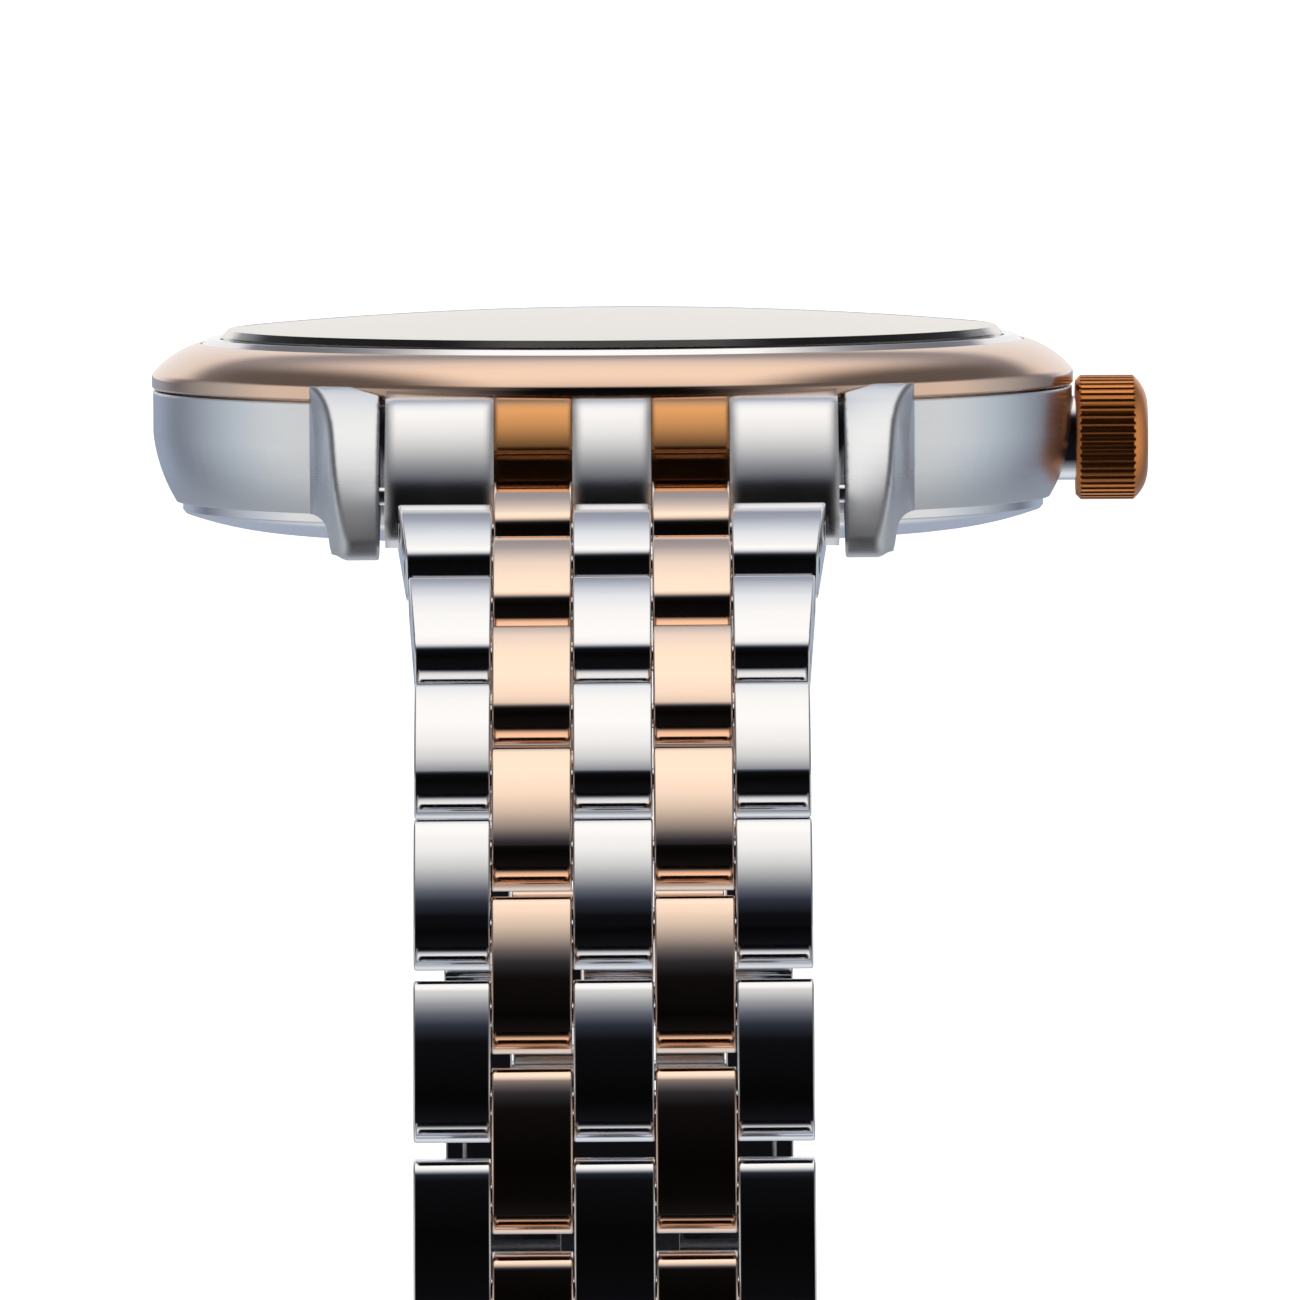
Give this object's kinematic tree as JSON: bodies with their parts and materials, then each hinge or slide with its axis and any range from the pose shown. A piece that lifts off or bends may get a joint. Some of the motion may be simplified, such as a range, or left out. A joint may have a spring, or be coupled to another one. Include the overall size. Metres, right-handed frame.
{
  "type": "wristwatch",
  "caption": "Round two-tone hand-wound wristwatch with a domed crystal, fluted crown and tapering five-row link bracelet lying open at its folding clasp.",
  "frame": {"origin": "centre of the case back's outer face", "axes": "+Z out of the dial, +X to three o'clock and the crown, +Y to twelve o'clock"},
  "size_m": [0.0443, 0.1228, 0.0703],
  "materials": {
    "polished_steel": "polished",
    "satin_steel": "satin",
    "rose_gold": "polished",
    "crystal": "polished",
    "dial": "satin",
    "seal": "matte",
    "movement_brass": "satin",
    "movement_steel": "satin"
  },
  "bodies": {
    "head": {"case_middle": "satin_steel", "bezel": "rose_gold", "crystal_ring": "polished_steel", "crystal": "crystal", "crystal_gasket": "seal", "case_back": "satin_steel", "back_gasket": "seal", "dial_flange": "dial", "dial": "dial", "dial_markers": "rose_gold", "crown_tube": "polished_steel", "main_plate": "movement_brass", "train_bridge": "movement_steel", "balance_cock": "movement_steel", "end_link_6": "satin_steel", "end_link_12": "satin_steel", "end_link_inserts": "rose_gold", "spring_bars": "polished_steel"},
    "hour": {"hour_hand": "rose_gold"},
    "minute": {"minute_hand": "rose_gold", "centre_wheel": "movement_brass"},
    "seconds": {"seconds_hand": "rose_gold", "fourth_wheel": "movement_brass"},
    "third": {"third_wheel": "movement_brass"},
    "barrel": {"mainspring_barrel": "movement_brass"},
    "escape": {"escape_wheel": "movement_steel"},
    "pallet": {"pallet_fork": "movement_steel"},
    "balance": {"balance_wheel": "movement_brass"},
    "stem_lever": {"setting_lever": "movement_steel"},
    "crown": {"crown": "rose_gold", "winding_stem": "movement_steel"},
    "gold_row_6_1": {"gold_row_6_1": "rose_gold"},
    "steel_row_6_1": {"steel_row_6_1": "polished_steel"},
    "gold_row_6_2": {"gold_row_6_2": "rose_gold"},
    "steel_row_6_2": {"steel_row_6_2": "polished_steel"},
    "gold_row_6_3": {"gold_row_6_3": "rose_gold"},
    "steel_row_6_3": {"steel_row_6_3": "polished_steel"},
    "gold_row_6_4": {"gold_row_6_4": "rose_gold"},
    "steel_row_6_4": {"steel_row_6_4": "polished_steel"},
    "gold_row_6_5": {"gold_row_6_5": "rose_gold"},
    "steel_row_6_5": {"steel_row_6_5": "polished_steel"},
    "gold_row_6_6": {"gold_row_6_6": "rose_gold"},
    "steel_row_6_6": {"steel_row_6_6": "polished_steel"},
    "gold_row_6_7": {"gold_row_6_7": "rose_gold"},
    "steel_row_6_7": {"steel_row_6_7": "polished_steel"},
    "gold_row_12_1": {"gold_row_12_1": "rose_gold"},
    "steel_row_12_1": {"steel_row_12_1": "polished_steel"},
    "gold_row_12_2": {"gold_row_12_2": "rose_gold"},
    "steel_row_12_2": {"steel_row_12_2": "polished_steel"},
    "gold_row_12_3": {"gold_row_12_3": "rose_gold"},
    "steel_row_12_3": {"steel_row_12_3": "polished_steel"},
    "gold_row_12_4": {"gold_row_12_4": "rose_gold"},
    "steel_row_12_4": {"steel_row_12_4": "polished_steel"},
    "gold_row_12_5": {"gold_row_12_5": "rose_gold"},
    "steel_row_12_5": {"steel_row_12_5": "polished_steel"},
    "gold_row_12_6": {"gold_row_12_6": "rose_gold"},
    "steel_row_12_6": {"steel_row_12_6": "polished_steel"},
    "clasp_cover": {"clasp_cover": "polished_steel"},
    "clasp_outer_blade": {"clasp_outer_blade": "satin_steel"},
    "clasp_inner_blade": {"clasp_inner_blade": "satin_steel"}
  },
  "joints": [
    {"name": "seconds_turn", "type": "hinge", "parent": "head", "child": "seconds", "pos_m": [0, -0.0076, 0.0035], "axis": [0, 0, -1], "continuous": true},
    {"name": "third_turn", "type": "hinge", "parent": "head", "child": "third", "pos_m": [0.00308, -0.00443, 0.0035], "axis": [0, 0, -1], "continuous": true},
    {"name": "minute_turn", "type": "hinge", "parent": "head", "child": "minute", "pos_m": [0, 0, 0.0035], "axis": [0, 0, -1], "continuous": true},
    {"name": "hour_turn", "type": "hinge", "parent": "head", "child": "hour", "pos_m": [0, 0, 0.0035], "axis": [0, 0, -1], "continuous": true},
    {"name": "barrel_turn", "type": "hinge", "parent": "head", "child": "barrel", "pos_m": [-0.0036, 0.00624, 0.0035], "axis": [0, 0, -1], "continuous": true},
    {"name": "escape_turn", "type": "hinge", "parent": "head", "child": "escape", "pos_m": [-0.00409, -0.0087, 0.0035], "axis": [0, 0, -1], "continuous": true},
    {"name": "pallet_rock", "type": "hinge", "parent": "head", "child": "pallet", "pos_m": [-0.00593, -0.00686, 0.0035], "axis": [0, 0, -1], "range_deg": [-4, 4]},
    {"name": "balance_swing", "type": "hinge", "parent": "head", "child": "balance", "pos_m": [-0.00833, -0.00445, 0.0035], "axis": [0, 0, -1], "range_deg": [-135, 135]},
    {"name": "crown_pull", "type": "slide", "parent": "head", "child": "stem_lever", "axis": [1, 0, 0], "range_m": [0, 0.0012]},
    {"name": "crown_turn", "type": "hinge", "parent": "stem_lever", "child": "crown", "pos_m": [0.0225, 0, 0.00395], "axis": [1, 0, 0], "continuous": true},
    {"name": "pin_6_0", "type": "hinge", "parent": "head", "child": "gold_row_6_1", "pos_m": [0, -0.0253, 0.00198], "axis": [1, 0, 0], "range_deg": [-8, 20]},
    {"name": "pin_6_1", "type": "hinge", "parent": "gold_row_6_1", "child": "steel_row_6_1", "pos_m": [0, -0.02921, 0.00113], "axis": [-1, 0, 0], "range_deg": [-20, 8]},
    {"name": "pin_6_2", "type": "hinge", "parent": "steel_row_6_1", "child": "gold_row_6_2", "pos_m": [0, -0.03302, -0.00009], "axis": [1, 0, 0], "range_deg": [-8, 20]},
    {"name": "pin_6_3", "type": "hinge", "parent": "gold_row_6_2", "child": "steel_row_6_2", "pos_m": [0, -0.03669, -0.00168], "axis": [-1, 0, 0], "range_deg": [-20, 8]},
    {"name": "pin_6_4", "type": "hinge", "parent": "steel_row_6_2", "child": "gold_row_6_3", "pos_m": [0, -0.0402, -0.0036], "axis": [1, 0, 0], "range_deg": [-8, 20]},
    {"name": "pin_6_5", "type": "hinge", "parent": "gold_row_6_3", "child": "steel_row_6_3", "pos_m": [0, -0.0435, -0.00586], "axis": [-1, 0, 0], "range_deg": [-20, 8]},
    {"name": "pin_6_6", "type": "hinge", "parent": "steel_row_6_3", "child": "gold_row_6_4", "pos_m": [0, -0.04657, -0.00842], "axis": [1, 0, 0], "range_deg": [-8, 20]},
    {"name": "pin_6_7", "type": "hinge", "parent": "gold_row_6_4", "child": "steel_row_6_4", "pos_m": [0, -0.04939, -0.01126], "axis": [-1, 0, 0], "range_deg": [-20, 8]},
    {"name": "pin_6_8", "type": "hinge", "parent": "steel_row_6_4", "child": "gold_row_6_5", "pos_m": [0, -0.05191, -0.01436], "axis": [1, 0, 0], "range_deg": [-8, 20]},
    {"name": "pin_6_9", "type": "hinge", "parent": "gold_row_6_5", "child": "steel_row_6_5", "pos_m": [0, -0.05413, -0.01769], "axis": [-1, 0, 0], "range_deg": [-20, 8]},
    {"name": "pin_6_10", "type": "hinge", "parent": "steel_row_6_5", "child": "gold_row_6_6", "pos_m": [0, -0.05602, -0.02121], "axis": [1, 0, 0], "range_deg": [-8, 20]},
    {"name": "pin_6_11", "type": "hinge", "parent": "gold_row_6_6", "child": "steel_row_6_6", "pos_m": [0, -0.05757, -0.0249], "axis": [-1, 0, 0], "range_deg": [-20, 8]},
    {"name": "pin_6_12", "type": "hinge", "parent": "steel_row_6_6", "child": "gold_row_6_7", "pos_m": [0, -0.05875, -0.02873], "axis": [1, 0, 0], "range_deg": [-8, 20]},
    {"name": "pin_6_13", "type": "hinge", "parent": "gold_row_6_7", "child": "steel_row_6_7", "pos_m": [0, -0.05956, -0.03264], "axis": [-1, 0, 0], "range_deg": [-20, 8]},
    {"name": "pin_12_0", "type": "hinge", "parent": "head", "child": "gold_row_12_1", "pos_m": [0, 0.0253, 0.00198], "axis": [-1, 0, 0], "range_deg": [-8, 20]},
    {"name": "pin_12_1", "type": "hinge", "parent": "gold_row_12_1", "child": "steel_row_12_1", "pos_m": [0, 0.02921, 0.00113], "axis": [1, 0, 0], "range_deg": [-20, 8]},
    {"name": "pin_12_2", "type": "hinge", "parent": "steel_row_12_1", "child": "gold_row_12_2", "pos_m": [0, 0.03302, -0.00009], "axis": [-1, 0, 0], "range_deg": [-8, 20]},
    {"name": "pin_12_3", "type": "hinge", "parent": "gold_row_12_2", "child": "steel_row_12_2", "pos_m": [0, 0.03669, -0.00168], "axis": [1, 0, 0], "range_deg": [-20, 8]},
    {"name": "pin_12_4", "type": "hinge", "parent": "steel_row_12_2", "child": "gold_row_12_3", "pos_m": [0, 0.0402, -0.0036], "axis": [-1, 0, 0], "range_deg": [-8, 20]},
    {"name": "pin_12_5", "type": "hinge", "parent": "gold_row_12_3", "child": "steel_row_12_3", "pos_m": [0, 0.0435, -0.00586], "axis": [1, 0, 0], "range_deg": [-20, 8]},
    {"name": "pin_12_6", "type": "hinge", "parent": "steel_row_12_3", "child": "gold_row_12_4", "pos_m": [0, 0.04657, -0.00842], "axis": [-1, 0, 0], "range_deg": [-8, 20]},
    {"name": "pin_12_7", "type": "hinge", "parent": "gold_row_12_4", "child": "steel_row_12_4", "pos_m": [0, 0.04939, -0.01126], "axis": [1, 0, 0], "range_deg": [-20, 8]},
    {"name": "pin_12_8", "type": "hinge", "parent": "steel_row_12_4", "child": "gold_row_12_5", "pos_m": [0, 0.05191, -0.01436], "axis": [-1, 0, 0], "range_deg": [-8, 20]},
    {"name": "pin_12_9", "type": "hinge", "parent": "gold_row_12_5", "child": "steel_row_12_5", "pos_m": [0, 0.05413, -0.01769], "axis": [1, 0, 0], "range_deg": [-20, 8]},
    {"name": "pin_12_10", "type": "hinge", "parent": "steel_row_12_5", "child": "gold_row_12_6", "pos_m": [0, 0.05602, -0.02121], "axis": [-1, 0, 0], "range_deg": [-8, 20]},
    {"name": "pin_12_11", "type": "hinge", "parent": "gold_row_12_6", "child": "steel_row_12_6", "pos_m": [0, 0.05757, -0.0249], "axis": [1, 0, 0], "range_deg": [-20, 8]},
    {"name": "pin_12_12", "type": "hinge", "parent": "steel_row_12_6", "child": "clasp_cover", "pos_m": [0, 0.05875, -0.02873], "axis": [-1, 0, 0], "range_deg": [-8, 20]},
    {"name": "clasp_far_hinge", "type": "hinge", "parent": "clasp_cover", "child": "clasp_outer_blade", "pos_m": [0, 0.05471, -0.05854], "axis": [1, 0, 0], "range_deg": [0, 100]},
    {"name": "clasp_fold_hinge", "type": "hinge", "parent": "clasp_outer_blade", "child": "clasp_inner_blade", "pos_m": [0, 0.05811, -0.03507], "axis": [1, 0, 0], "range_deg": [-120, 0]}
  ],
  "couplings": [
    {"joint": "third_turn", "follows": "seconds_turn", "ratio": -0.13333},
    {"joint": "minute_turn", "follows": "seconds_turn", "ratio": 0.016667},
    {"joint": "hour_turn", "follows": "seconds_turn", "ratio": 0.0013889},
    {"joint": "barrel_turn", "follows": "seconds_turn", "ratio": -0.0020833},
    {"joint": "escape_turn", "follows": "seconds_turn", "ratio": -10}
  ]
}
